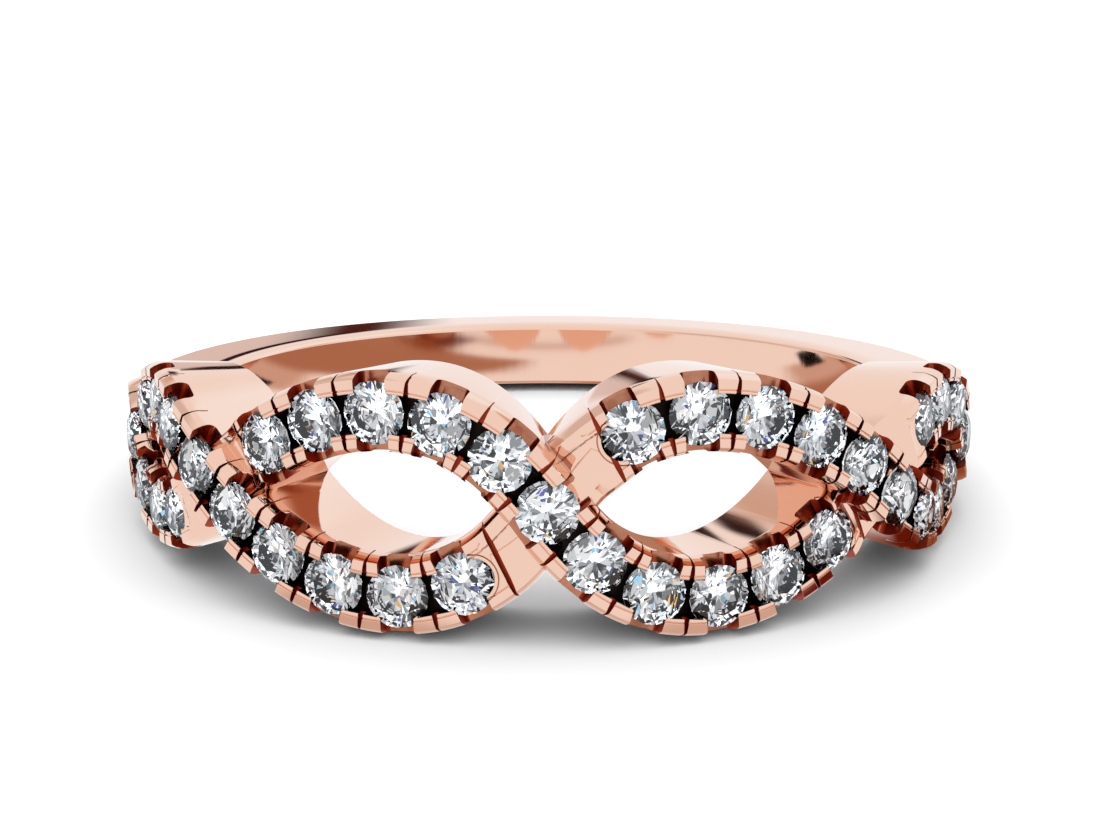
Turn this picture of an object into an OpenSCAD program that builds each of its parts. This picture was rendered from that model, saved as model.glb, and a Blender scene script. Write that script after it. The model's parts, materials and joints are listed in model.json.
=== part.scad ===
// Infinity ring: a plain shank whose front half is two strands woven over and under each other,
// each strand set with a row of round brilliants between split shared prongs.
// The ring is described about its own finger axis and then laid on its side as it comes to rest.
// Lengths are in millimetres, angles in degrees. Both are counted both ways from the middle of the front.

/* [Finger] */
// Inside diameter of the finger hole
finger_d = 17.3; // [15:0.1:21]

/* [Shank] */
// Wall of the plain shank, outward from the finger hole
shank_t = 1.85; // [1.2:0.05:2.4]
// Height of the shank along the finger
shank_h = 1.84; // [1.4:0.02:2.4]
// Radial width of the rounded inner edge
lip_w = 0.6; // [0.3:0.05:0.8]
// Height that the rounded inner edge takes off the inner wall
lip_h = 0.18; // [0.1:0.01:0.3]

/* [Weave] */
// Height of the middle of the front loops above the ring's middle plane
loop_h = 2; // [1.8:0.01:2.2]
// Distance round the ring, at the second crossing's girdles, to the front loops' highest point
loop_run = 3.48; // [3.2:0.01:3.7]
// Distance round to the second crossing
cross_1_run = 8.11; // [7.9:0.01:8.4]
// Height of the middle of the side loops
loop_2_h = 1.26; // [1.2:0.01:1.4]
// Distance round to the side loops' highest point
loop_2_run = 11.34; // [11.2:0.01:11.6]
// Distance round to the third crossing
cross_2_run = 14.27; // [14.1:0.01:14.5]
// Height of the last low bend where the strands run into the shank
loop_3_h = 0.6; // [0.5:0.01:0.65]
// Distance round to the last low bend
loop_3_run = 15.93; // [15.8:0.01:16.2]
// Distance round to the strands' ends in the shank
merge_run = 18.18; // [17.6:0.01:18.8]
// Height at which they end
merge_h = 0.15; // [0.1:0.01:0.25]
// Lean of the strands where they cross at the front
lean_0 = 54; // [51:1:56]
// Lean of the strands at the second crossing
lean_1 = 39; // [36:1:42]
// Lean of the strands at the third crossing
lean_2 = 55; // [52:1:56]

/* [Strands] */
// Rise of the stones' girdles over the finger hole at the front
rise_0 = 2.44; // [2.3:0.01:2.7]
// Rise of the girdles at the second crossing
rise_1 = 2.55; // [2.4:0.01:2.8]
// Rise of the girdles along the side loops
rise_2 = 1.83; // [1.75:0.01:2]
// Distance round by which the girdles have sunk to that rise
sunk_run = 12.71; // [11.7:0.01:13.7]
// How much a strand rises or sinks as it passes over or under the other
lift = 0.13; // [0.08:0.01:0.2]
// The same at the third crossing
lift_2 = 0.08; // [0.05:0.01:0.12]
// Extra depth of a strand's plain back where it passes under
dip = 0.2; // [0.1:0.01:0.3]
// Half the width of a strand at its outer side
strand_w = 0.86; // [0.8:0.01:0.95]
// Half the width of a strand at the finger hole
foot_w = 0.7; // [0.55:0.01:0.8]
// Half the width of a strand where it ends in the shank
end_w = 0.6; // [0.5:0.01:0.7]
// Height of the posts above the stones' girdles
post_h = 0.17; // [0.16:0.01:0.25]
// Depth below the girdles at which a strand's side starts to round over
shoulder_y = 0.15; // [0.1:0.01:0.3]
// Width of the rounded-over shoulder
shoulder_w = 0.13; // [0.05:0.01:0.2]

/* [Stones] */
// Diameter of the stones
stone_d = 1.38; // [1.2:0.01:1.42]
// Distance between neighbouring stones
pitch = 1.485; // [1.46:0.005:1.55]
// Distance between neighbouring stones of the first strand on the side loops
pitch_2 = 1.6; // [1.5:0.01:1.7]
// Distance from the front crossing to the first stone of the strand that passes under
lead = 2.46; // [2.4:0.01:2.6]
// Table diameter as a share of the stone's
table_share = 0.57; // [0.5:0.01:0.62]
// Crown height as a share of the stone's diameter
crown_share = 0.15; // [0.12:0.01:0.17]
// Girdle thickness as a share of the stone's diameter
girdle_share = 0.03; // [0.02:0.005:0.05]
// Pavilion depth as a share of the stone's diameter
pavilion_share = 0.43; // [0.4:0.01:0.45]

/* [Setting] */
// Clearance round a stone in its seat
seat_gap = 0.02; // [0.01:0.005:0.04]
// How far the prongs reach in over a stone's edge
grip = 0.11; // [0.08:0.005:0.14]
// Width of the round-bottomed cut beside each stone
scallop_d = 0.58; // [0.45:0.01:0.65]
// Depth of that cut below the girdles
scallop_y = 0.34; // [0.25:0.01:0.45]
// Width of the slit that splits each post into two prongs
slit_w = 0.09; // [0.06:0.01:0.12]
// Metal between a run's last stone and the slit beyond it
end_wall = 0.08; // [0.06:0.01:0.12]
// Depth of the slit and of the channel below the girdles
slit_y = 0.3; // [0.2:0.01:0.4]
// Half the width of the open channel between neighbouring stones
channel_w = 0.43; // [0.35:0.01:0.5]

/* [Hidden] */
MIDDLE = 5;    // stones each side of the front crossing on the strand that passes over
UNDER = 9;     // stones on each half of the other strand
SIDE = 4;      // stones on each side loop of the strand that passes over at the front
SIDE_AT = 3;   // which of those sits on the third crossing
PAIRS = [for (s = ["l", "r"]) s];

finger_r = finger_d / 2;
shank_r = finger_r + shank_t;
stone_r = stone_d / 2;
table_r = stone_r * table_share;
crown_h = stone_d * crown_share;
girdle_h = stone_d * girdle_share;
pavilion_h = stone_d * pavilion_share;
open_r = stone_r - grip;
gold = [0.89, 0.66, 0.56];
stone_white = [0.93, 0.95, 0.97];
end_slit = stone_r + seat_gap + end_wall + slit_w / 2;  // from a run's last stone to the slit beyond it
step_a = 2;       // angle between two sections of a strand
shank_from = 2;   // angle from the third crossing to the start of the shank's own solid
taper_a = 1;      // angle from the third crossing and from the last bend to the ends of the strands' taper
probe_a = 0.25;   // angle used to take a direction along a path
reach_in = 0.35;  // how far solids run past the finger hole before it is cut
proud = 0.1;      // how far cuts run out past the metal
$fn = 48;

// Angle round the ring of a distance round it
function angle_of(run) = run / (finger_r + rise_1) * 180 / PI;
loop_at = angle_of(loop_run);
cross_1 = angle_of(cross_1_run);
loop_2_at = angle_of(loop_2_run);
cross_2 = angle_of(cross_2_run);
loop_3_at = angle_of(loop_3_run);
merge_at = angle_of(merge_run);
sunk_at = angle_of(sunk_run);

// Rise of a path for each degree, from its lean at a crossing
function slope(lean, radius) = tan(lean) * radius * PI / 180;
function ease(x) = let (u = min(1, max(0, x))) u * u * (3 - 2 * u);
function mix(a, b, u) = a + (b - a) * ease(u);

// Columns of the path's table: angle, height, height gained for each degree
A = 0;
Z = 1;
G = 2;
PATH = [
    [0, 0, slope(lean_0, finger_r + rise_0)],
    [loop_at, loop_h, 0],
    [cross_1, 0, -slope(lean_1, finger_r + rise_1)],
    [loop_2_at, -loop_2_h, 0],
    [cross_2, 0, slope(lean_2, finger_r + rise_2)],
    [loop_3_at, loop_3_h, 0],
    [merge_at, merge_h, 0],
    [180, merge_h, 0]
];
function span(a, i = 0) = a < PATH[i + 1][A] || i == len(PATH) - 2 ? i : span(a, i + 1);
function hermite(p, q, a) =
    let (d = q[A] - p[A], u = (a - p[A]) / d, u2 = u * u, u3 = u2 * u)
    p[Z] * (1 - 3 * u2 + 2 * u3) + q[Z] * (3 * u2 - 2 * u3)
    + d * (p[G] * (u - 2 * u2 + u3) + q[G] * (u3 - u2));
function wave(a) = let (b = abs(a), i = span(b)) sign(a) * hermite(PATH[i], PATH[i + 1], b);

// side is 1 for the strand that passes over at the front, -1 for the other
function phase(b) = b < cross_1 ? b / cross_1 : min(2, 1 + (b - cross_1) / (cross_2 - cross_1));
function base_r(b) =
    b < cross_1 ? finger_r + mix(rise_0, rise_1, b / cross_1)
    : b < cross_2 ? finger_r + mix(rise_1, rise_2, (b - cross_1) / (sunk_at - cross_1))
    : mix(finger_r + rise_2, shank_r - post_h - 2 * lift_2, (b - cross_2) / (merge_at - cross_2));
function lift_at(b) =
    b < cross_2 ? mix(lift, lift_2, (b - cross_1) / (cross_2 - cross_1))
    : mix(lift_2, lift_2 / 2, (b - cross_2) / (merge_at - cross_2));
function path_r(side, a) =
    let (b = abs(a))
    base_r(b) + side * lift_at(b) * cos(180 * phase(b));
function path(side, a) =
    let (r = path_r(side, a)) [r * sin(a), -r * cos(a), -side * wave(a)];

// Frame of a strand at an angle: along it, across it and out of it
function unit(v) = v / norm(v);
function along(side, a) = unit(path(side, a + probe_a) - path(side, a - probe_a));
function outward(side, a) =
    let (t = along(side, a), n = [sin(a), -cos(a), 0]) unit(n - t * (n * t));
function frame(side, a) = let (t = along(side, a), n = outward(side, a)) [t, cross(n, t), n];

// Length along a strand from the front, and the angle at a length
MEASURE_A = 0.5;
function lengths(side) =
    [for (i = 0, s = 0; i * MEASURE_A <= merge_at;
          s = s + norm(path(side, (i + 1) * MEASURE_A) - path(side, i * MEASURE_A)), i = i + 1) s];
OVER_LENGTHS = lengths(1);
UNDER_LENGTHS = lengths(-1);
function table_of(side) = side > 0 ? OVER_LENGTHS : UNDER_LENGTHS;
function length_at(side, b) =
    let (t = table_of(side), i = floor(b / MEASURE_A), u = b / MEASURE_A - i)
    t[i] + (u > 0 ? u * (t[i + 1] - t[i]) : 0);
function seek(t, s, lo, hi) =
    hi - lo < 2 ? lo : let (m = floor((lo + hi) / 2)) t[m] > s ? seek(t, s, lo, m) : seek(t, s, m, hi);
function angle_at(side, s) =
    let (t = table_of(side), i = seek(t, s, 0, len(t) - 1))
    (i + (s - t[i]) / (t[i + 1] - t[i])) * MEASURE_A;

// Lengths along the strands at which the stones sit
OVER_AT = [for (i = [0 : MIDDLE]) i * pitch];
UNDER_AT = [for (i = [0 : UNDER - 1]) lead + i * pitch + max(0, i - MIDDLE) * (pitch_2 - pitch)];
SIDE_FROM = length_at(1, cross_2) - SIDE_AT * pitch;
SIDE_RUN = [for (i = [0 : SIDE - 1]) SIDE_FROM + i * pitch];

// Depth to which a strand's back sinks at a length: full at a crossing under the other strand
dip_full = strand_w;
dip_end = strand_w + stone_d / 2;
function under_at(side) =
    side > 0 ? [length_at(1, cross_1)] : [0, length_at(-1, cross_2)];
function sink(side, b) =
    let (s = length_at(side, b))
    dip * max([for (c = under_at(side)) 1 - ease((abs(s - c) - dip_full) / (dip_end - dip_full))]);

// Half the width of a strand at an angle
taper_from = cross_2 + taper_a;
function half_w(b) = mix(strand_w, end_w, (b - taper_from) / (loop_3_at - taper_a - taper_from));
function strand_end(side) = merge_at - (side > 0 ? step_a : 0);

// Corners of a strand at an angle: its foot inside the finger hole, its edges and its top
function corner(side, a, x, y) = let (f = frame(side, a)) path(side, a) + x * f[1] + y * f[2];
function inward(side, v, a) = let (k = (finger_r - reach_in) / path_r(side, a)) [k * v[0], k * v[1], v[2]];
function section(side, a) =
    let (b = min(abs(a), merge_at - MEASURE_A), low = sink(side, b), w = half_w(b),
         foot = w * foot_w / strand_w, top = post_h - low, edge = -shoulder_y - low)
    [inward(side, corner(side, a, -foot, 0), a), inward(side, corner(side, a, foot, 0), a),
     corner(side, a, w, edge), corner(side, a, w - shoulder_w, top),
     corner(side, a, shoulder_w - w, top), corner(side, a, -w, edge)];

module strand(side) {
    last = strand_end(side);
    n = 2 * ceil(last / step_a);
    k = len(section(side, 0));
    points = [for (i = [0 : n]) for (q = section(side, -last + i * 2 * last / n)) q];
    faces = concat(
        [[for (j = [0 : k - 1]) j]],
        [[for (j = [0 : k - 1]) n * k + k - 1 - j]],
        [for (i = [0 : n - 1], j = [0 : k - 1])
            let (m = (j + 1) % k) [i * k + j, (i + 1) * k + j, (i + 1) * k + m]],
        [for (i = [0 : n - 1], j = [0 : k - 1])
            let (m = (j + 1) % k) [i * k + j, (i + 1) * k + m, i * k + m]]
    );
    polyhedron(points, faces);
}

// Places children on a strand at a length, with x along it, y across it and z out of it
module on_strand(side, s) {
    a = sign(s) * angle_at(side, abs(s));
    f = frame(side, a);
    p = path(side, a);
    multmatrix([for (i = [0 : 2]) [f[0][i], f[1][i], f[2][i], p[i]]]) children();
}

module shank() {
    inner = [for (t = [20 : 23 : 90])
        [finger_r + lip_w * (1 - cos(t)), shank_h / 2 - lip_h * (1 - sin(t))]];
    start = [finger_r - reach_in, shank_h / 2 - lip_h - reach_in / 4];
    half = concat([start], inner, [[finger_r + lip_w, shank_h / 2], [shank_r, shank_h / 2]]);
    mirrored = [for (i = [len(half) - 1 : -1 : 0]) [half[i][0], -half[i][1]]];
    rotate([0, 0, cross_2 - 90 + shank_from])
        rotate_extrude(angle = 360 - 2 * (cross_2 + shank_from), $fn = 96)
            polygon(concat(half, mirrored));
}

// Everything that is taken out of the metal for one stone: its seat and the cut through beside it
cut_top = post_h + proud;
cut_w = strand_w + proud;
module seat() {
    girdle_top = girdle_h / 2 + seat_gap;
    crown_y = girdle_top + (crown_h - girdle_h / 2) * grip / (stone_r - table_r) + seat_gap;
    rotate_extrude()
        polygon([
            [0, -pavilion_h - 3 * seat_gap], [stone_r + seat_gap, -girdle_h / 2 - seat_gap],
            [stone_r + seat_gap, girdle_top], [open_r, crown_y], [open_r, cut_top], [0, cut_top]
        ]);
    r = scallop_d / 2;
    arc = [for (t = [180 : 30 : 360]) [r * cos(t), r - scallop_y + r * sin(t)]];
    rotate([90, 0, 0]) linear_extrude(2 * cut_w, center = true)
        polygon(concat(arc, [[r, cut_top], [-r, cut_top]]));
}

// The slit between two neighbouring stones, widened into a channel along the middle
module parting(open = true) {
    room = pitch / 2 - sqrt(pow(open_r, 2) - pow(channel_w, 2)) + seat_gap;
    x = slit_w / 2;
    arm = [[room, channel_w], [x, channel_w], [x, cut_w], [-x, cut_w], [-x, channel_w], [-room, channel_w]];
    slot = [[x, cut_w], [-x, cut_w]];
    outline = open ? arm : slot;
    translate([0, 0, -slit_y]) linear_extrude(slit_y + cut_top)
        polygon(concat(outline, [for (q = outline) -q]));
}

module run(side, places, first, last) {
    for (s = places) on_strand(side, s) seat();
    for (i = [0 : len(places) - 2]) on_strand(side, (places[i] + places[i + 1]) / 2) parting();
    if (first) on_strand(side, places[0] - end_slit) parting(false);
    if (last) on_strand(side, places[len(places) - 1] + end_slit) parting(false);
}
function back(v) = [for (i = [len(v) - 1 : -1 : 0]) -v[i]];

module ring_cuts() {
    over = concat([for (i = [MIDDLE : -1 : 1]) -OVER_AT[i]], OVER_AT);
    run(1, over, true, true);
    run(-1, UNDER_AT, true, false);
    run(-1, back(UNDER_AT), false, true);
    run(1, SIDE_RUN, true, true);
    run(1, back(SIDE_RUN), true, true);
}

// The ring's rest on its side: tipped back until its front loops and the back of the shank both touch
LOOP_POINTS = [for (side = [-1, 1], a = [-30 : 0.5 : 30]) for (q = section(side, a)) q];
tilt = max([for (q = LOOP_POINTS) atan((-q[2] - shank_h / 2) / (shank_r - q[1]))]);
rest_z = shank_r * sin(tilt) + shank_h / 2 * cos(tilt);
front_reach = -min([for (q = LOOP_POINTS) q[1] * cos(tilt) + q[2] * sin(tilt)]);
back_reach = shank_r * cos(tilt) + shank_h / 2 * sin(tilt);
rest_y = (front_reach - back_reach) / 2;
module at_rest() {
    translate([0, rest_y, rest_z]) rotate([-tilt, 0, 0]) children();
}

module gold_ring() {
    color(gold) at_rest()
        difference() {
            union() {
                strand(1);
                strand(-1);
                shank();
            }
            cylinder(h = 4 * (loop_h + strand_w), r = finger_r, center = true, $fn = 96);
            ring_cuts();
        }
}

// A round brilliant about its girdle's middle: table, stars, kites and halves over and under the girdle
module brilliant() {
    half_g = girdle_h / 2;
    star_r = (table_r + stone_r) / 2;
    star_h = crown_h - (crown_h - half_g) / (stone_r - table_r) * (star_r * cos(22.5) - table_r);
    low_r = stone_r * 0.23;
    low_h = pavilion_h - (pavilion_h - half_g) * low_r * cos(22.5) / stone_r;
    function ring(r, h, n, turn) = [for (i = [0 : n - 1]) [r * cos(turn + i * 360 / n), r * sin(turn + i * 360 / n), h]];
    points = concat(
        ring(table_r, crown_h, 8, 0), ring(star_r, star_h, 8, 22.5),
        ring(stone_r, half_g, 16, 0), ring(stone_r, -half_g, 16, 0),
        ring(low_r, -low_h, 8, 22.5), [[0, 0, -pavilion_h]]
    );
    S = 8;
    U = 16;
    L = 32;
    P = 48;
    C = 56;
    faces = concat(
        [[7, 6, 5, 4, 3, 2, 1, 0]],
        [for (i = [0 : 7]) [i, (i + 1) % 8, S + i]],
        [for (i = [0 : 7]) [i, S + i, U + 2 * i, S + (i + 7) % 8]],
        [for (i = [0 : 7]) [S + i, U + 2 * i + 1, U + 2 * i]],
        [for (i = [0 : 7]) [S + i, U + (2 * i + 2) % 16, U + 2 * i + 1]],
        [for (i = [0 : 15]) [U + i, U + (i + 1) % 16, L + (i + 1) % 16, L + i]],
        [for (i = [0 : 7]) [P + i, L + 2 * i, L + 2 * i + 1]],
        [for (i = [0 : 7]) [P + i, L + 2 * i + 1, L + (2 * i + 2) % 16]],
        [for (i = [0 : 7]) [C, P + (i + 7) % 8, L + 2 * i, P + i]]
    );
    polyhedron(points, faces);
}

module stone(side, s) {
    color(stone_white) at_rest() on_strand(side, s) brilliant();
}

gold_ring();
stone(1, 0);  // stone_mid
for (s = PAIRS) {
    way = s == "l" ? -1 : 1;
    for (i = [1 : MIDDLE])
        stone(1, way * OVER_AT[i]);
    for (i = [1 : UNDER])
        stone(-1, way * UNDER_AT[i - 1]);
    for (i = [1 : SIDE])
        stone(1, way * SIDE_RUN[i - 1]);
}
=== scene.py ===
"""Infinity ring: polished rose gold and round brilliants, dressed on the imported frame.

The metal is made again with finer curves, beaded prongs and tapered slits. The stones keep
their exact facets. Sizes are millimetres in the ring's own frame (finger axis up, front
towards -Y), and the frame's finger hole says how the ring lies.
"""

import json
import math

import bpy
import numpy as np
from mathutils import Matrix, Vector


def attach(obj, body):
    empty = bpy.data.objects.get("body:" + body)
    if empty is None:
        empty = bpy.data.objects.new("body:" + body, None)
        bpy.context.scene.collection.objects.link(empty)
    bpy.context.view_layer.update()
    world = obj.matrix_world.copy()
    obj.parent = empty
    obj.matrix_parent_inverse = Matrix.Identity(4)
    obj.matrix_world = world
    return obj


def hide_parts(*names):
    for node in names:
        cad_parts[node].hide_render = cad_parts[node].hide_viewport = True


MM = 0.001

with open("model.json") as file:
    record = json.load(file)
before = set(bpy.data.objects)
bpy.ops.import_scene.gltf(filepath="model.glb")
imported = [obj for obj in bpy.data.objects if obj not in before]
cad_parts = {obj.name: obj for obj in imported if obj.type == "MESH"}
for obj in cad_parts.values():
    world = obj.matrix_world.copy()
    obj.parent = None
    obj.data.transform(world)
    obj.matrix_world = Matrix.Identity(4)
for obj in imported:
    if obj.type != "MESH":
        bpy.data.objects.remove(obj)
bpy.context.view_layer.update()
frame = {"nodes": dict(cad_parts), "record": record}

# ---------------------------------------------------------------- sizes, as in the part's source

FINGER_R = 8.65
SHANK_T = 1.85
SHANK_H = 1.84
LIP_W = 0.6
LIP_H = 0.18
SHANK_R = FINGER_R + SHANK_T

RISE_0, RISE_1, RISE_2 = 2.44, 2.55, 1.83


def angle_of(run):
    """Angle round the ring of a distance round it at the second crossing's girdles."""
    return math.degrees(run / (FINGER_R + RISE_1))


LOOP_AT, CROSS_1, LOOP_2_AT, CROSS_2, LOOP_3_AT, MERGE_AT, SUNK_AT = map(
    angle_of, (3.48, 8.11, 11.34, 14.27, 15.93, 18.18, 12.71)
)
LIFT, LIFT_2, DIP = 0.13, 0.08, 0.2
STRAND_W, FOOT_W, END_W = 0.86, 0.7, 0.6
POST_H = 0.17
SHOULDER_Y, SHOULDER_W = 0.15, 0.13

STONE_D, PITCH, PITCH_2, LEAD = 1.38, 1.485, 1.6, 2.46
STONE_R = STONE_D / 2
GRIP, SEAT_GAP = 0.11, 0.02
SCALLOP_Y = 0.34
SLIT_W, SLIT_Y, END_WALL = 0.09, 0.3, 0.08
END_SLIT = STONE_R + SEAT_GAP + END_WALL + SLIT_W / 2
CHANNEL_W = 0.43
REACH_IN = 0.35
GIRDLE_H, CROWN_H, PAVILION_H = 0.03 * STONE_D, 0.15 * STONE_D, 0.43 * STONE_D
TABLE_R = 0.57 * STONE_R

# Stones each side of the middle one, in each half's run of the other strand, and in a side run,
# and the place in a side run of the stone at the second crossing
MIDDLE, UNDER, SIDE, SIDE_AT = 5, 9, 4, 3


def slope(lean, rise):
    return math.tan(math.radians(lean)) * (FINGER_R + rise) * math.pi / 180


# Columns: angle, height, height gained for each degree
PATH = [
    (0, 0, slope(54, RISE_0)),
    (LOOP_AT, 2.0, 0),
    (CROSS_1, 0, -slope(39, RISE_1)),
    (LOOP_2_AT, -1.26, 0),
    (CROSS_2, 0, slope(55, RISE_2)),
    (LOOP_3_AT, 0.6, 0),
    (MERGE_AT, 0.15, 0),
    (180, 0.15, 0),
]

# ---------------------------------------------------------------- the strands' path


def ease(x):
    u = min(1.0, max(0.0, x))
    return u * u * (3 - 2 * u)


def mix(a, b, u):
    return a + (b - a) * ease(u)


def wave(angle):
    b = abs(angle)
    for p, q in zip(PATH, PATH[1:]):
        if b < q[0] or q is PATH[-1]:
            d = q[0] - p[0]
            u = (b - p[0]) / d
            u2, u3 = u * u, u * u * u
            z = p[1] * (1 - 3 * u2 + 2 * u3) + q[1] * (3 * u2 - 2 * u3)
            z += d * (p[2] * (u - 2 * u2 + u3) + q[2] * (u3 - u2))
            return math.copysign(1, angle) * z


def base_r(b):
    if b < CROSS_1:
        return FINGER_R + mix(RISE_0, RISE_1, b / CROSS_1)
    if b < CROSS_2:
        return FINGER_R + mix(RISE_1, RISE_2, (b - CROSS_1) / (SUNK_AT - CROSS_1))
    return mix(FINGER_R + RISE_2, SHANK_R - POST_H - 2 * LIFT_2, (b - CROSS_2) / (MERGE_AT - CROSS_2))


def lift_at(b):
    if b < CROSS_2:
        return mix(LIFT, LIFT_2, (b - CROSS_1) / (CROSS_2 - CROSS_1))
    return mix(LIFT_2, LIFT_2 / 2, (b - CROSS_2) / (MERGE_AT - CROSS_2))


def phase(b):
    return b / CROSS_1 if b < CROSS_1 else min(2.0, 1 + (b - CROSS_1) / (CROSS_2 - CROSS_1))


def path_r(side, angle):
    b = abs(angle)
    return base_r(b) + side * lift_at(b) * math.cos(math.pi * phase(b))


def path(side, angle):
    r, t = path_r(side, angle), math.radians(angle)
    return np.array([r * math.sin(t), -r * math.cos(t), -side * wave(angle)])


def unit(v):
    return v / np.linalg.norm(v)


def frame_at(side, angle, probe=0.25):
    """Along the strand, across it and out of it."""
    t = unit(path(side, angle + probe) - path(side, angle - probe))
    a = math.radians(angle)
    n = np.array([math.sin(a), -math.cos(a), 0.0])
    n = unit(n - t * (n @ t))
    return t, np.cross(n, t), n


STEP = 0.5
MEASURE = np.arange(0, MERGE_AT + STEP / 2, STEP)
LENGTHS = {}
for way in (1, -1):
    track = np.array([path(way, a) for a in MEASURE])
    LENGTHS[way] = np.concatenate([[0], np.cumsum(np.linalg.norm(np.diff(track, axis=0), axis=1))])


def length_at(side, angle):
    return float(np.interp(angle, MEASURE, LENGTHS[side]))


def angle_at(side, length):
    return math.copysign(float(np.interp(abs(length), LENGTHS[side], MEASURE)), length)


OVER_AT = [i * PITCH for i in range(-MIDDLE, MIDDLE + 1)]
UNDER_AT = [LEAD + i * PITCH + max(0, i - MIDDLE) * (PITCH_2 - PITCH) for i in range(UNDER)]
SIDE_RUN = [length_at(1, CROSS_2) + (i - SIDE_AT) * PITCH for i in range(SIDE)]


def mirrored(run):
    return [-s for s in reversed(run)]


# Each run of stones: strand, places, and whether the scene splits the post at its first and last end
RUNS = [
    (1, OVER_AT, True, True),
    (-1, UNDER_AT, True, False),
    (-1, mirrored(UNDER_AT), False, True),
    (1, SIDE_RUN, False, True),
    (1, mirrored(SIDE_RUN), True, False),
]


def sink(side, b):
    """How far a strand's back drops where the other strand passes over it."""
    full, end = STRAND_W, STRAND_W + STONE_R
    s = length_at(side, b)
    crossings = [CROSS_1] if side > 0 else [0, CROSS_2]
    return DIP * max(1 - ease((abs(s - length_at(side, c)) - full) / (end - full)) for c in crossings)


def half_w(b):
    start = CROSS_2 + 1
    return mix(STRAND_W, END_W, (b - start) / (LOOP_3_AT - 1 - start))


# ---------------------------------------------------------------- mesh helpers


def rest_matrix():
    """The ring's own frame in the row's frame, in metres, from the finger hole's mount."""
    hole = frame["record"]["mounts"][0]
    up = Vector(hole["axis"])
    lean = Vector((0, 0, 1)).rotation_difference(up).to_matrix().to_4x4()
    return Matrix.Translation(Vector(hole["pos_m"])) @ lean @ Matrix.Scale(MM, 4)


REST = rest_matrix()


def mesh_object(name, verts, faces):
    mesh = bpy.data.meshes.new(name)
    mesh.from_pydata([tuple(v) for v in verts], [], faces)
    mesh.validate()
    obj = bpy.data.objects.new(name, mesh)
    bpy.context.scene.collection.objects.link(obj)
    return obj


def sweep(rings):
    """Joins closed rings of points into a solid with capped ends."""
    k, n = len(rings[0]), len(rings)
    verts = [p for ring in rings for p in ring]
    faces = [tuple(range(k)), tuple((n - 1) * k + k - 1 - j for j in range(k))]
    for i in range(n - 1):
        for j in range(k):
            m = (j + 1) % k
            faces.append((i * k + j, (i + 1) * k + j, (i + 1) * k + m, i * k + m))
    return verts, faces


def circle(radius, steps):
    """Corners of a regular polygon."""
    return [(radius * math.cos(t), radius * math.sin(t)) for t in np.linspace(0, 2 * math.pi, steps + 1)[:-1]]


def prism(outline, low, high):
    """A prism with its outline in the first two columns, from low to high in the third."""
    k = len(outline)
    verts = [(x, y, low) for x, y in outline] + [(x, y, high) for x, y in outline]
    faces = [tuple(reversed(range(k))), tuple(range(k, 2 * k))]
    faces += [(j, (j + 1) % k, k + (j + 1) % k, k + j) for j in range(k)]
    return verts, faces


def revolve(profile, steps):
    """A closed solid from (radius, height) pairs that start and end on the axis."""
    inner = profile[1:-1]
    k = len(inner)
    verts = [(0, 0, profile[0][1])]
    for i in range(steps):
        a = 2 * math.pi * i / steps
        verts += [(r * math.cos(a), r * math.sin(a), z) for r, z in inner]
    verts.append((0, 0, profile[-1][1]))
    top = len(verts) - 1
    faces = []
    for i in range(steps):
        a, b = 1 + i * k, 1 + (i + 1) % steps * k
        faces.append((0, b, a))
        faces += [(a + j, b + j, b + j + 1, a + j + 1) for j in range(k - 1)]
        faces.append((a + k - 1, b + k - 1, top))
    return verts, faces


def placed(side, s, verts):
    """Points given as along, across and out of a strand, moved to a length on it."""
    a = angle_at(side, s)
    t, across, n = frame_at(side, a)
    p = path(side, a)
    return [p + v[0] * t + v[1] * across + v[2] * n for v in verts]


# The metals' last three materials are painted shade, black, dark red and brown, for hollows where the gold
# would reflect itself dark
ROSE, SHADOW, RED_SHADE, BROWN_SHADE = range(4)  # the metals' materials, in their order on the ring


def merged(name, parts, slot=ROSE):
    """One object from closed solids. Its faces take the metals' material of that number, or each its own."""
    verts, faces, slots = [], [], []
    for v, f in parts:
        base = len(verts)
        verts += list(v)
        faces += [tuple(base + i for i in face) for face in f]
        slots += slot if isinstance(slot, list) else [slot] * len(f)
    obj = mesh_object(name, verts, faces)
    for mat in metals:
        obj.data.materials.append(mat)
    obj.data.polygons.foreach_set("material_index", slots)
    return obj


def boolean(target, tool, operation):
    mod = target.modifiers.new("cut", "BOOLEAN")
    mod.operation = operation
    mod.solver = "MANIFOLD"
    mod.object = tool
    depsgraph = bpy.context.evaluated_depsgraph_get()
    made = bpy.data.meshes.new_from_object(target.evaluated_get(depsgraph))
    target.modifiers.remove(mod)
    old, target.data = target.data, made
    bpy.data.meshes.remove(old)
    bpy.data.objects.remove(tool)


# ---------------------------------------------------------------- the metal

BEAD_IN, BEAD_W, BEAD_DEPTH = CHANNEL_W, 0.085, 0.035
TROUGH, CREASE = 0.05, 0.014
SIDE_WALL = 0.25  # height of the straight wall under a shoulder
ROOT = 2          # angle by which the shank, and the end of the strand that passes over, stay short

# Stretches without stones: up to this angle on the strand that dips below the front crossing,
# and between these two angles on the other strand
BARE_TO = angle_at(-1, UNDER_AT[0] - END_SLIT)
BARE_2 = angle_at(1, OVER_AT[-1] + END_SLIT), angle_at(1, SIDE_RUN[0] - END_SLIT)

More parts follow.
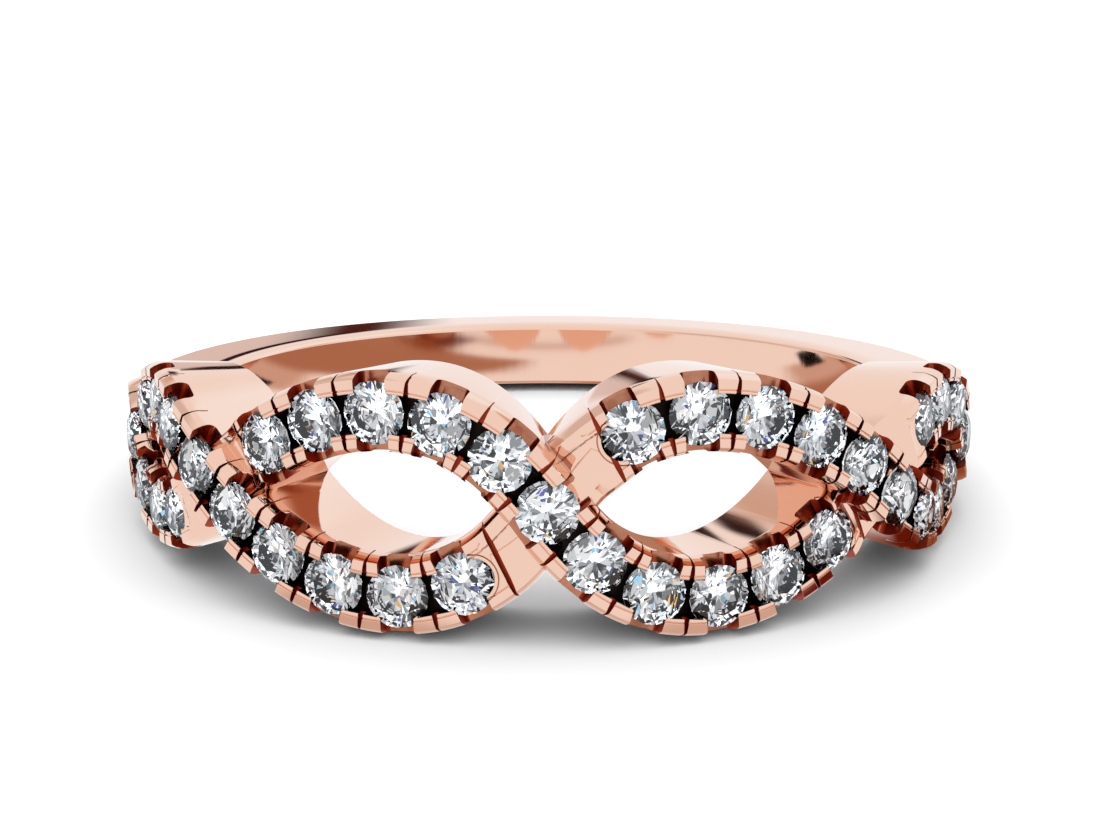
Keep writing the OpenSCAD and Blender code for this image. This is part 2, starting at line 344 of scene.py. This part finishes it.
# The back of a strand from its shoulder to the middle: place across, depth under the top
GROOVE = BEAD_IN + BEAD_W
BEADED = [
    (GROOVE + 0.018, 0), (GROOVE + 0.006, BEAD_DEPTH), (GROOVE - 0.006, BEAD_DEPTH), (GROOVE - 0.018, 0.008),
    (BEAD_IN + 0.02, 0.012), (BEAD_IN - 0.03, TROUGH), (BEAD_IN - 0.05, TROUGH),
]
STEPPED = [(0.62, 0), (0.56, 0), (0.5, 0.004), (0.47, 0.012), (0.45, 0.02), (0.43, TROUGH), (0.412, TROUGH)]
EVEN = [(x, 0) for x in (0.62, 0.56, 0.5, 0.44, 0.38, 0.32, 0.29)]


def section(side, angle):
    """Outline of a strand across its run, from foot to foot."""
    b = min(abs(angle), MERGE_AT - 0.5)
    low, w = sink(side, b), half_w(b)
    top, edge, foot = POST_H - low, -SHOULDER_Y - low, w * FOOT_W / STRAND_W
    p, (_, across, n) = path(side, angle), frame_at(side, angle)
    k = w / STRAND_W
    shoulder = [
        (w, edge - SIDE_WALL),
        (w, edge),
        (w - SHOULDER_W * 0.12, edge + 0.09),
        (w - SHOULDER_W * 0.5, (edge + top) / 2 + 0.06),
        (w - SHOULDER_W * 0.93, top - 0.012),
        (w - SHOULDER_W * 1.1, top),
    ]
    upper, lower = BEADED, BEADED
    middle = [(CREASE, TROUGH), (0, TROUGH), (-CREASE, TROUGH)]
    if side < 0 and b < BARE_TO:
        at = -0.05 + 0.3 * b / BARE_TO
        upper = STEPPED
        lower = [(x, TROUGH * (0.62 - x) / (0.62 + at)) for x, _ in EVEN]
        middle = [(at + CREASE, TROUGH), (at, TROUGH + 0.02), (at - CREASE, TROUGH)]
    elif side > 0 and BARE_2[0] < b < BARE_2[1]:
        upper, lower, middle = EVEN, EVEN, [(CREASE, 0), (0, 0), (-CREASE, 0)]
    outline = shoulder + [(x * k, top - y) for x, y in upper + middle + [(-x, y) for x, y in reversed(lower)]]
    outline += [(-x, y) for x, y in reversed(shoulder)]
    ring = []
    shrink = (FINGER_R - REACH_IN) / path_r(side, angle)
    for x in (-foot, foot):
        v = p + x * across
        ring.append(np.array([shrink * v[0], shrink * v[1], v[2]]))
    return ring + [p + x * across + y * n for x, y in outline]


def stations(side):
    """Angles of a strand's sections."""
    last = MERGE_AT - (ROOT if side > 0 else 0)
    return np.linspace(-last, last, int(2 * last / STEP) + 1)


def strand(side):
    return sweep([section(side, a) for a in stations(side)])


OVERLAP = 1.1


def over_slots():
    """Materials of the first strand's faces: brown painted shade on its side walls where it passes over the
    front crossing.
    """
    k, angles = len(section(1, 0)), stations(1)
    slots = [ROSE, ROSE]
    for a, b in zip(angles, angles[1:]):
        near = length_at(1, abs(a + b) / 2) < OVERLAP
        slots += [BROWN_SHADE if near and j in (1, 2, k - 2, k - 1) else ROSE for j in range(k)]
    return slots


def shank():
    """The plain band round the back, with rounded inner edges, between the third crossings."""
    half = [(FINGER_R - REACH_IN, SHANK_H / 2 - LIP_H - REACH_IN / 4)]
    for t in np.linspace(12, 90, 9):
        c, s = math.cos(math.radians(t)), math.sin(math.radians(t))
        half.append((FINGER_R + LIP_W * (1 - c), SHANK_H / 2 - LIP_H * (1 - s)))
    half += [(SHANK_R - 0.05, SHANK_H / 2), (SHANK_R, SHANK_H / 2 - 0.05)]
    outline = half + [(r, -z) for r, z in reversed(half)]
    rings = []
    for a in np.linspace(CROSS_2 + ROOT, 360 - CROSS_2 - ROOT, 400):
        t = math.radians(a)
        rings.append([np.array([r * math.sin(t), -r * math.cos(t), z]) for r, z in outline])
    return sweep(rings)


def finger():
    return prism(circle(FINGER_R, 512), -5, 5)


SCALLOP_W, SCALLOP_CORNER = 0.74, 0.16  # wider than in the part's source, as the photo shows
CUT_TOP = POST_H + 0.1
CUT_W = STRAND_W + 0.006


def seat_cut():
    rim = GIRDLE_H / 2 + SEAT_GAP
    open_r = STONE_R - GRIP
    crown_y = rim + (CROWN_H - GIRDLE_H / 2) * GRIP / (STONE_R - TABLE_R) + SEAT_GAP
    profile = [
        (0, -PAVILION_H - 3 * SEAT_GAP),
        (STONE_R + SEAT_GAP, -GIRDLE_H / 2 - SEAT_GAP),
        (STONE_R + SEAT_GAP, rim),
        (open_r, crown_y),
        (open_r, CUT_TOP),
        (0, CUT_TOP),
    ]
    return revolve(profile, 56)


def scallop_cut():
    """The cut beside a stone, right across the strand, with rounded corners at its bottom."""
    r, w = SCALLOP_CORNER, SCALLOP_W / 2
    turns = np.linspace(-math.pi / 2, 0, 9)
    arc = [(w - r + r * math.cos(t), r - SCALLOP_Y + r * math.sin(t)) for t in turns]
    outline = [(-x, y) for x, y in reversed(arc)] + arc + [(w, CUT_TOP), (-w, CUT_TOP)]
    verts, faces = prism(outline, -CUT_W, CUT_W)
    return [(x, -y, z) for x, z, y in verts], faces


# Corners of the groove: place across the strand, height over its back
LINE = [(0.412, 0.1), (0.412, -0.15), (0.464, -0.15), (0.464, 0.1)]


def line_cut():
    """The deep groove beside the upper strip of the strand that dips below the front crossing."""
    rings = []
    for a in np.linspace(-BARE_TO, BARE_TO, 61):
        p, (_, across, n) = path(-1, a), frame_at(-1, a)
        top = POST_H - sink(-1, abs(a))
        rings.append([p + x * across + y * n for x, y in LINE for y in (top + y,)])
    return sweep(rings)


def channel_cut():
    room = PITCH / 2 - math.sqrt((STONE_R - GRIP) ** 2 - CHANNEL_W**2) + SEAT_GAP
    outline = [(-room, -CHANNEL_W), (room, -CHANNEL_W), (room, CHANNEL_W), (-room, CHANNEL_W)]
    return prism(outline, -SLIT_Y, CUT_TOP)


# Columns: place across the strand, half width of a saw cut there, height of its bottom
SLIT = [
    (CUT_W, 0.012, -0.44), (0.85, 0.014, -0.4), (0.8, 0.027, 0.0), (0.62, 0.047, -0.03), (0.43, 0.058, -0.05),
]
END_SAW = STONE_R + 0.1  # from the middle of a run's last stone to the saw cut beyond it
END_LEAN = 0.2


def slit_cut():
    """The saw cut between two prongs: widest at the stones, it ends in a point down the strand's side."""
    half = [[(-x, y, CUT_TOP), (-x, y, low), (x, y, low), (x, y, CUT_TOP)] for y, x, low in SLIT]
    return sweep([[(x, -y, z) for x, y, z in ring] for ring in half] + half[::-1])


def end_cut():
    """The saw cut at the end of a run leans towards the stone."""
    verts, faces = slit_cut()
    return [(x + END_LEAN * (y + STRAND_W), y, z) for x, y, z in verts], faces


# The pocket at the end of a run shows as a thin crescent beside the last stone
POCKET_R, POCKET_AT = 0.46, 0.27
COLLAR_R = 0.545


# Materials of a scallop's faces, in the order in which its prism is made: brown painted shade on its ends,
# bottom and the lower part of its corners, dark red painted shade higher up the corners and on its walls
SCALLOP_SLOTS = [BROWN_SHADE, BROWN_SHADE] + [RED_SHADE] * 5 + [BROWN_SHADE] * 7 + [RED_SHADE] * 5 + [RED_SHADE, RED_SHADE, RED_SHADE]


def pocket_cut():
    """The round pocket round the outer half of a run's last stone."""
    return prism(circle(POCKET_R, 32), -SLIT_Y, CUT_TOP)


def collar_cut():
    """A fine groove round that pocket."""
    low, wide = POST_H - TROUGH - 0.04, 0.014
    near, far = COLLAR_R - wide, COLLAR_R + wide
    corners = [(near, CUT_TOP), (near, low), (far, low), (far, CUT_TOP)]
    steps = 48
    turns = [2 * math.pi * i / steps for i in range(steps)]
    verts = [(r * math.cos(t), r * math.sin(t), z) for t in turns for r, z in corners]
    faces = []
    for i in range(steps):
        for j in range(4):
            a, b = i * 4, (i + 1) % steps * 4
            faces.append((a + j, b + j, b + (j + 1) % 4, a + (j + 1) % 4))
    return verts, faces


def cutters(shape, places):
    """One closed copy of a cut at each place. Places of one call never overlap."""
    verts, faces = shape()
    made = []
    for side, s in places:
        k = half_w(abs(angle_at(side, s))) / STRAND_W if shape in (slit_cut, scallop_cut, end_cut) else 1
        made.append((placed(side, s, [(x, y * k, z) for x, y, z in verts]), faces))
    return made


def cut_runs(target, sides, deep):
    """Cuts the runs of stones of some strands: what stays in a strand's own back, or what goes deep."""
    for side, places, first, last in RUNS:
        if side not in sides:
            continue
        between = [(a + b) / 2 for a, b in zip(places, places[1:])]
        ends = [places[0] - END_SAW] * first + [places[-1] + END_SAW] * last
        pockets = [places[0] - POCKET_AT] * first + [places[-1] + POCKET_AT] * last
        if deep:
            cuts = ((seat_cut, places, SHADOW), (channel_cut, between, SHADOW))
        else:
            # The cuts' faces take painted shade: brown in scallop bottoms and collar grooves, dark red in
            # slits, end cuts and scallop corners, black in pockets, seats and channels
            cuts = (
                (scallop_cut, places, SCALLOP_SLOTS),
                (collar_cut, pockets, BROWN_SHADE),
                (slit_cut, between, RED_SHADE),
                (end_cut, ends, RED_SHADE),
                (pocket_cut, pockets, SHADOW),
            )
        for shape, at, slot in cuts:
            for half in (at[0::2], at[1::2]):
                if half:
                    tools = cutters(shape, [(side, s) for s in half])
                    boolean(target, merged("tool", tools, slot), "DIFFERENCE")


SHARP_FROM = 24


def gold_ring():
    ring = merged("gold_ring_fine", [strand(1)], over_slots())
    other = merged("other", [strand(-1)])
    # The deep groove takes black painted shade
    boolean(other, merged("line", [line_cut()], SHADOW), "DIFFERENCE")
    cut_runs(ring, (1,), False)
    cut_runs(other, (-1,), False)
    boolean(ring, other, "UNION")
    boolean(ring, merged("band", [shank()]), "UNION")
    boolean(ring, merged("hole", [finger()]), "DIFFERENCE")
    cut_runs(ring, (1, -1), True)
    ring.data.transform(REST)
    ring.data.shade_smooth()
    ring.data.set_sharp_from_angle(angle=math.radians(SHARP_FROM))
    return ring


# ---------------------------------------------------------------- materials


def new_material(name):
    mat = bpy.data.materials.new(name)
    mat.use_nodes = True
    tree = mat.node_tree
    return mat, tree, tree.nodes["Principled BSDF"]


def value(tree, operation, *inputs):
    """A Math node on numbers or sockets."""
    node = tree.nodes.new("ShaderNodeMath")
    node.operation = operation
    for socket, given in zip(node.inputs, inputs):
        if isinstance(given, (int, float)):
            socket.default_value = given
        else:
            tree.links.new(given, socket)
    return node.outputs[0]


def vector(tree, operation, *inputs):
    """A Vector Math node on vectors or sockets: the dot product's number, or the vector."""
    node = tree.nodes.new("ShaderNodeVectorMath")
    node.operation = operation
    for socket, given in zip(node.inputs, inputs):
        if isinstance(given, Vector):
            socket.default_value = given
        else:
            tree.links.new(given, socket)
    return node.outputs["Value" if operation == "DOT_PRODUCT" else "Vector"]


def blend(tree, factor, a, b):
    """A colour between a and b, each a colour or a socket."""
    node = tree.nodes.new("ShaderNodeMix")
    node.data_type = "RGBA"
    for name, given in (("Factor", factor), ("A", a), ("B", b)):
        if isinstance(given, tuple):
            node.inputs[name].default_value = (*given, 1)
        elif isinstance(given, (int, float)):
            node.inputs[name].default_value = given
        else:
            tree.links.new(given, node.inputs[name])
    return node.outputs["Result"]


def clouds(tree, scale, detail=3):
    """Noise in the object's own coordinates, for faint variation of a surface."""
    coord = tree.nodes.new("ShaderNodeTexCoord")
    noise = tree.nodes.new("ShaderNodeTexNoise")
    noise.inputs["Scale"].default_value = scale
    noise.inputs["Detail"].default_value = detail
    tree.links.new(coord.outputs["Object"], noise.inputs["Vector"])
    return noise.outputs["Fac"]


def metal(name, dark, light, rough, scale, bevel=0.0, painted_sparkle=False):
    """Metal whose colour and roughness vary a little. It throws no coloured light on the floor. With
    painted_sparkle it glows with painted cells of light, seen only through the stones.
    """
    mat, tree, bsdf = new_material(name)
    bsdf.inputs["Metallic"].default_value = 1.0
    noise = clouds(tree, scale)
    path = tree.nodes.new("ShaderNodeLightPath")
    tint = blend(tree, noise, dark, light)
    colour = blend(tree, path.outputs["Is Diffuse Ray"], tint, (0.02, 0.02, 0.02))
    tree.links.new(colour, bsdf.inputs["Base Color"])
    haze = tree.nodes.new("ShaderNodeMapRange")
    haze.inputs["To Min"].default_value, haze.inputs["To Max"].default_value = rough
    tree.links.new(noise, haze.inputs["Value"])
    tree.links.new(haze.outputs["Result"], bsdf.inputs["Roughness"])
    if painted_sparkle:
        # painted light: the dark seats glow with sparkling cells for rays that come through the stones
        coord = tree.nodes.new("ShaderNodeTexCoord")
        tree.links.new(sparkle(tree, coord.outputs["Object"], SEAT_CELLS), bsdf.inputs["Emission Color"])
        tree.links.new(path.outputs["Is Transmission Ray"], bsdf.inputs["Emission Strength"])
        mat.cycles.emission_sampling = "NONE"
    if bevel:
        edge = tree.nodes.new("ShaderNodeBevel")
        edge.samples = 4
        edge.inputs["Radius"].default_value = bevel * MM
        tree.links.new(edge.outputs["Normal"], bsdf.inputs["Normal"])
    return mat


def diamond():
    """A brilliant: the facets that face the finger are mirrors, as a cut diamond throws its light back."""
    mat, tree, bsdf = new_material("diamond")
    bsdf.inputs["Transmission Weight"].default_value = 1.0
    bsdf.inputs["IOR"].default_value = 2.42
    bsdf.inputs["Roughness"].default_value = 0.0
    bsdf.inputs["Specular Tint"].default_value = (0.35, 0.35, 0.35, 1)
    path = tree.nodes.new("ShaderNodeLightPath")
    tint = blend(tree, clouds(tree, 900), (0.95, 0.97, 1.0), (1.0, 1.0, 1.0))
    colour = blend(tree, path.outputs["Is Diffuse Ray"], tint, (0.1, 0.1, 0.1))
    tree.links.new(colour, bsdf.inputs["Base Color"])
    surface = tree.nodes.new("ShaderNodeNewGeometry")
    away = vector(tree, "SUBTRACT", surface.outputs["Position"], REST @ Vector((0, 0, 0)))
    up = (REST.to_3x3() @ Vector((0, 0, 1))).normalized()
    normal = surface.outputs["True Normal"]
    lean, height = vector(tree, "DOT_PRODUCT", normal, up), vector(tree, "DOT_PRODUCT", away, up)
    climb = value(tree, "MULTIPLY", lean, height)
    outward = value(tree, "SUBTRACT", vector(tree, "DOT_PRODUCT", normal, away), climb)
    turned = value(tree, "MULTIPLY_ADD", surface.outputs["Backfacing"], -2, 1)
    inner = value(tree, "LESS_THAN", value(tree, "MULTIPLY", outward, turned), 0)
    tree.links.new(inner, bsdf.inputs["Metallic"])
    return mat


def dress(obj, mat):
    obj.data.materials.clear()
    obj.data.materials.append(mat)


# ---------------------------------------------------------------- stage and light

TENT = 1.0
TENT_MIRRORED = (1.0, 1.06, 1.1)
WORLD_CELLS, FLOOR_CELLS, SEAT_CELLS = 15, 180, 5000

# Soft cards round the ring, seen in the metal: azimuth from straight behind towards +X, elevation,
# half width, half height and softness in degrees, then the light that they leave
CARDS = [
    (-8.5, 4, 2.2, 9, 1.0, (0.76, 0.66, 0.63)),
    (-4.95, 6, 1.4, 8, 1.15, (0.07, 0.015, 0.008)),
    (-5.6, 11, 1.7, 4, 0.6, (0.03, 0.01, 0.01)),
    (-12.3, 21.3, 4.0, 3.2, 1.5, (0.03, 0.01, 0.01)),
    (-24, 28, 9, 6, 4.0, (0.70, 0.55, 0.48)),
    (-61, 8, 6, 11, 3, (0.12, 0.01, 0.01)),
    (25, 42, 17, 16, 8.0, (1.05, 1.25, 1.4)),
    (50, 34, 10, 12, 5.0, (0.78, 0.54, 0.42)),
    (-60, 45, 30, 25, 10.0, (0.75, 0.72, 0.70)),
]

# Painted shadows on the floor, seen only in the metal as a glow: place and half sizes in millimetres,
# softness, colour
MIRRORED_FLOOR_SHADE = [
    (0, -11.5, 9.0, 2.0, 1.5, (0.70, 0.60, 0.56)),
    (-0.3, 8.4, 2.0, 1.8, 0.5, (0.69, 0.51, 0.44)),
    (6.9, 4.5, 5.9, 8.5, 0.8, (0.46, 0.23, 0.145)),
    (9.6, -4.0, 2.8, 2.2, 1.3, (0.29, 0.085, 0.03)),
    (10.2, -8.2, 2.7, 3.1, 0.6, (0.14, 0.012, 0.003)),
    (-2.85, 8.2, 1.5, 0.7, 0.15, (0.0, 0.0, 0.0)),
    (-12.9, 1.5, 1.3, 1.8, 0.5, (0.2, 0.01, 0.0)),
]


def ramp_inside(tree, away, half, soft):
    """One inside a half width, zero outside it, with a soft edge."""
    node = tree.nodes.new("ShaderNodeMapRange")
    node.interpolation_type = "SMOOTHSTEP"
    node.inputs["From Min"].default_value = half + soft
    node.inputs["From Max"].default_value = half - soft
    tree.links.new(away, node.inputs["Value"])
    return node.outputs["Result"]


def patch(tree, u, v, half_u, half_v, soft):
    """A soft-edged rectangle in two measures, each given as the distance from its middle."""
    return value(tree, "MULTIPLY", ramp_inside(tree, u, half_u, soft), ramp_inside(tree, v, half_v, soft))


def sparkle(tree, place, scale):
    """Bright, grey and dark cells with a few coloured ones: what the stones' facets catch."""
    cells = tree.nodes.new("ShaderNodeTexVoronoi")
    cells.inputs["Scale"].default_value = scale
    tree.links.new(place, cells.inputs["Vector"])
    split = tree.nodes.new("ShaderNodeSeparateColor")
    tree.links.new(cells.outputs["Color"], split.inputs[0])
    ramp = tree.nodes.new("ShaderNodeValToRGB")
    ramp.color_ramp.interpolation = "CONSTANT"
    stops = [(0.0, 0.05), (0.07, 0.17), (0.17, 0.35), (0.34, 0.57), (0.56, 0.8), (0.82, 1.0)]
    for at, light in stops[2:]:
        ramp.color_ramp.elements.new(at)
    for element, (at, light) in zip(ramp.color_ramp.elements, stops):
        element.position = at
        element.color = (light, light, light, 1)
    tree.links.new(split.outputs["Red"], ramp.inputs["Fac"])
    light = ramp.outputs["Color"]
    for channel, test, bound, flash in (
        ("Green", "GREATER_THAN", 0.98, (0.3, 0.7, 0.92)),
        ("Green", "LESS_THAN", 0.008, (0.08, 0.1, 0.4)),
        ("Blue", "GREATER_THAN", 0.994, (1.0, 0.55, 0.18)),
    ):
        light = blend(tree, value(tree, test, split.outputs[channel], bound), light, flash)
    return light


def build_world():
    """A white tent. Only the metal sees the cards, and only the stones see the sparkling cells."""
    world = bpy.data.worlds.new("studio")
    bpy.context.scene.world = world
    world.use_nodes = True
    tree = world.node_tree
    coord = tree.nodes.new("ShaderNodeTexCoord")
    direction = coord.outputs["Generated"]
    split = tree.nodes.new("ShaderNodeSeparateXYZ")
    tree.links.new(direction, split.inputs[0])
    turn = value(tree, "ARCTAN2", split.outputs["X"], split.outputs["Y"])
    azimuth = value(tree, "MULTIPLY", turn, 180 / math.pi)
    elevation = value(tree, "MULTIPLY", value(tree, "ARCSINE", split.outputs["Z"]), 180 / math.pi)
    mirrored_light = TENT_MIRRORED
    for az, el, half_az, half_el, soft, colour in CARDS:
        side = value(tree, "ABSOLUTE", value(tree, "SUBTRACT", azimuth, az))
        height = value(tree, "ABSOLUTE", value(tree, "SUBTRACT", elevation, el))
        mask = patch(tree, side, height, half_az, half_el, soft)
        mirrored_light = blend(tree, mask, mirrored_light, colour)
    # what lights the floor is brighter overhead and in front, so that the ring's shadow stays close to it
    height = value(tree, "MAXIMUM", split.outputs["Z"], 0)
    dome = value(tree, "MULTIPLY_ADD", value(tree, "MULTIPLY", height, height), 2.1, 0.14)
    dome = value(tree, "MULTIPLY_ADD", value(tree, "MINIMUM", split.outputs["Y"], 0), -0.95, dome)
    soft_light = tree.nodes.new("ShaderNodeCombineColor")
    for name in ("Red", "Green", "Blue"):
        tree.links.new(dome, soft_light.inputs[name])
    path = tree.nodes.new("ShaderNodeLightPath")
    light = blend(tree, path.outputs["Is Glossy Ray"], (1.0, 1.0, 1.0), mirrored_light)
    light = blend(tree, path.outputs["Is Transmission Ray"], light, sparkle(tree, direction, WORLD_CELLS))
    light = blend(tree, path.outputs["Is Diffuse Ray"], light, soft_light.outputs[0])
    light = blend(tree, path.outputs["Is Camera Ray"], light, (1.0, 1.0, 1.0))
    back = tree.nodes["Background"]
    back.inputs["Strength"].default_value = TENT
    tree.links.new(light, back.inputs["Color"])


def build_stage():
    """A white floor. Mirrored in the metal it glows with painted shadows instead of being lit, and through
    the stones it shows painted cells of light.
    """
    floor = mesh_object("floor", [(-1, -1, 0), (1, -1, 0), (1, 1, 0), (-1, 1, 0)], [(0, 1, 2, 3)])
    mat, tree, bsdf = new_material("white_floor")
    coord = tree.nodes.new("ShaderNodeTexCoord")
    split = tree.nodes.new("ShaderNodeSeparateXYZ")
    tree.links.new(coord.outputs["Object"], split.inputs[0])
    shade = TENT_MIRRORED
    for x, y, half_x, half_y, soft, colour in MIRRORED_FLOOR_SHADE:
        side = value(tree, "ABSOLUTE", value(tree, "SUBTRACT", split.outputs["X"], x * MM))
        depth = value(tree, "ABSOLUTE", value(tree, "SUBTRACT", split.outputs["Y"], y * MM))
        mask = patch(tree, side, depth, half_x * MM, half_y * MM, soft * MM)
        shade = blend(tree, mask, shade, colour)
    path = tree.nodes.new("ShaderNodeLightPath")
    # painted reflection: for rays from the metal the floor is black and glows with its painted shadows, and
    # rays through the stones see painted cells of light
    light = blend(tree, path.outputs["Is Glossy Ray"], (0.9, 0.9, 0.9), (0.0, 0.0, 0.0))
    cells = sparkle(tree, coord.outputs["Object"], FLOOR_CELLS)
    light = blend(tree, path.outputs["Is Transmission Ray"], light, cells)
    tree.links.new(light, bsdf.inputs["Base Color"])
    tree.links.new(shade, bsdf.inputs["Emission Color"])
    tree.links.new(path.outputs["Is Glossy Ray"], bsdf.inputs["Emission Strength"])
    mat.cycles.emission_sampling = "NONE"
    bsdf.inputs["Roughness"].default_value = 1.0
    bsdf.inputs["Specular IOR Level"].default_value = 0.0
    dress(floor, mat)


# The camera as fitted to the photo: millimetres, degrees over the ring's plane and round it, pixels
PHOTO_W, PHOTO_H = 1100, 825
CAMERA_DISTANCE = 57.4
CAMERA_RISE = 10.97
CAMERA_TURN = 0.14
FOCAL_PX = 2216.6
CENTRE_PX = (548.9, 410.6)


def build_camera():
    """The camera looks at the ring's centre from its measured distance and rise over the ring's plane."""
    data = bpy.data.cameras.new("camera")
    cam = bpy.data.objects.new("camera", data)
    bpy.context.scene.collection.objects.link(cam)
    rise, turn = math.radians(CAMERA_RISE), math.radians(CAMERA_TURN)
    away = Vector((math.sin(turn) * math.cos(rise), -math.cos(turn) * math.cos(rise), math.sin(rise)))
    centre = REST @ Vector((0, 0, 0))
    cam.location = REST @ (away * CAMERA_DISTANCE)
    cam.rotation_euler = (centre - cam.location).to_track_quat("-Z", "Y").to_euler()
    data.sensor_width = 36
    data.lens = FOCAL_PX / PHOTO_W * data.sensor_width
    data.shift_x = (PHOTO_W / 2 - CENTRE_PX[0]) / PHOTO_W
    data.shift_y = (CENTRE_PX[1] - PHOTO_H / 2) / PHOTO_W
    data.clip_start, data.clip_end = 0.001, 10
    bpy.context.scene.camera = cam


# ---------------------------------------------------------------- making

build_camera()
build_world()
build_stage()
bpy.context.scene.view_settings.view_transform = "Standard"

metals = [
    metal("rose_gold", (0.865, 0.55, 0.415), (0.885, 0.575, 0.445), (0.04, 0.08), 260, bevel=0.015),
    # black painted shade for seats, channels, pockets and the groove, glowing with painted sparkle through
    # the stones
    metal("seat_shadow", (0.01, 0.007, 0.006), (0.03, 0.018, 0.015), (0.45, 0.55), 2500, painted_sparkle=True),
    # dark red painted shade for slits, end cuts and scallop corners
    metal("red_painted_shade", (0.24, 0.022, 0.007), (0.40, 0.05, 0.018), (0.3, 0.4), 2500),
    # brown painted shade for scallop bottoms, collar grooves and the walls by the front crossing
    metal("brown_painted_shade", (0.34, 0.11, 0.055), (0.60, 0.26, 0.16), (0.15, 0.25), 3500),
]
white = diamond()
ring = gold_ring()
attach(ring, "root")
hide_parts("gold_ring")
for name, node in frame["nodes"].items():
    if name != "gold_ring":
        dress(node, white)
